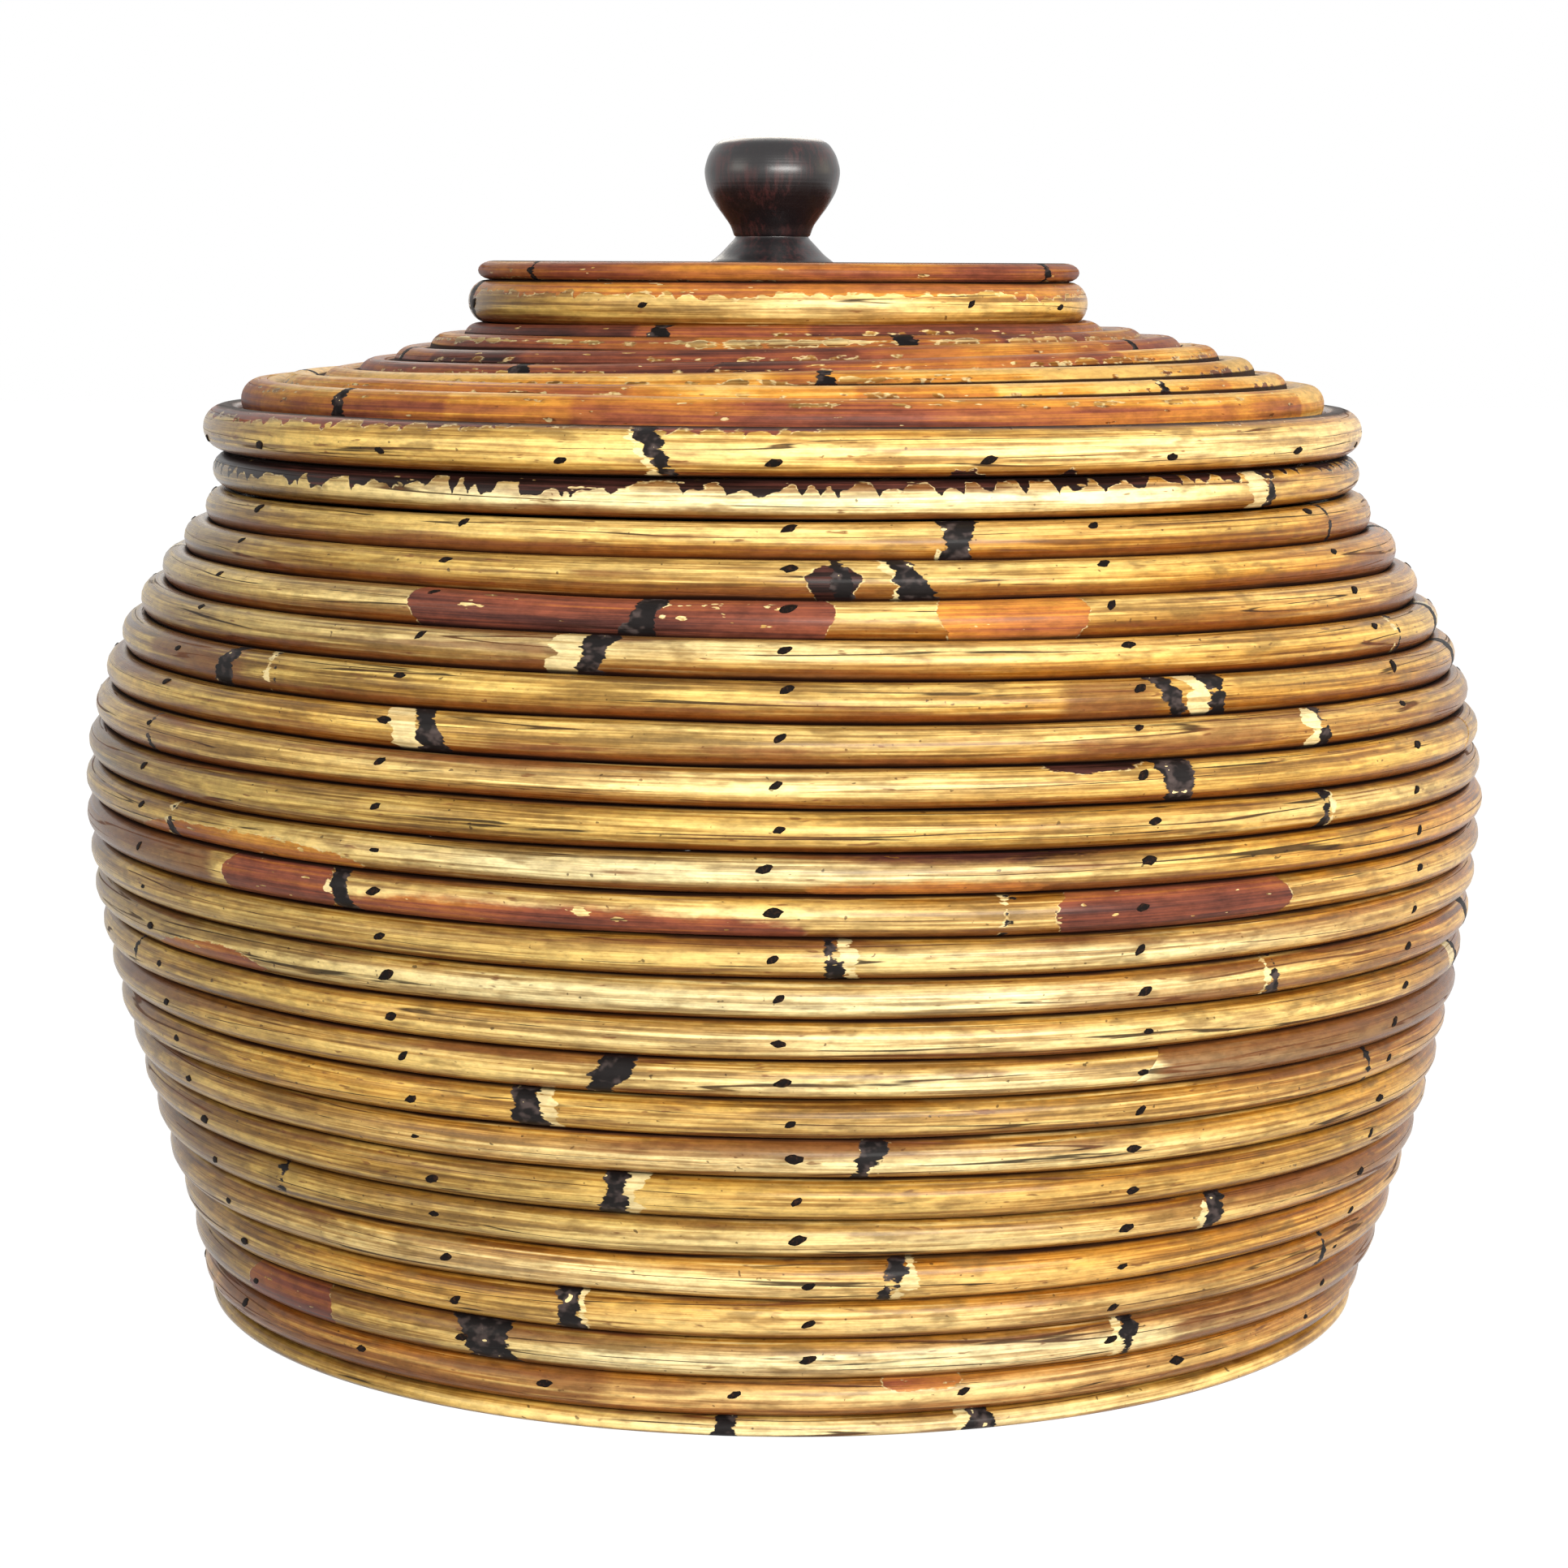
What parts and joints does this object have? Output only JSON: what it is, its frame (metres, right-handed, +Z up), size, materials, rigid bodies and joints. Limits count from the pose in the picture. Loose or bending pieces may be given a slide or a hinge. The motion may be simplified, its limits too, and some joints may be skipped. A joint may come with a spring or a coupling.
{
  "type": "lidded coiled cane urn",
  "caption": "Round-bellied storage urn of coiled and pegged cane with a loose lid, raised collar and turned wooden knob.",
  "frame": {"origin": "on the floor, on the urn's own axis", "axes": "+Z up along the urn's axis; the side shown in the picture faces -Y, with +X to its right"},
  "size_m": [0.3406, 0.3404, 0.2814],
  "materials": {
    "straw_cane": "glossy varnish over straw-yellow cane with dark grain streaks and node scars",
    "russet_cane": "glossy varnish over red-brown cane with pale flecks",
    "amber_cane": "glossy varnish over thick amber cane",
    "dark_turned_wood": "satin lacquer on near-black turned wood",
    "plated_steel": "plain plated steel"
  },
  "bodies": {
    "urn": {"base_ring": "straw_cane", "base_coil": "straw_cane", "foot_ring": "amber_cane", "wall_cane_1": "straw_cane", "wall_cane_2": "straw_cane", "wall_cane_3": "straw_cane", "wall_cane_4": "straw_cane", "wall_cane_5": "straw_cane", "wall_cane_6": "straw_cane", "rim_ring": "straw_cane"},
    "lid": {"lid_rim_ring": "straw_cane", "lid_inner_ring": "straw_cane", "lid_locating_ring": "straw_cane", "lid_shell_cane_1": "russet_cane", "lid_shell_cane_2": "russet_cane", "collar_ring": "straw_cane", "collar_cap_ring": "russet_cane", "collar_coil": "russet_cane", "knob": "dark_turned_wood", "knob_washer": "plated_steel", "knob_screw": "plated_steel"}
  },
  "joints": [
    {"name": "lid_lift", "type": "slide", "parent": "urn", "child": "lid", "axis": [0, 0, 1], "range_m": [0, 0.12]}
  ]
}
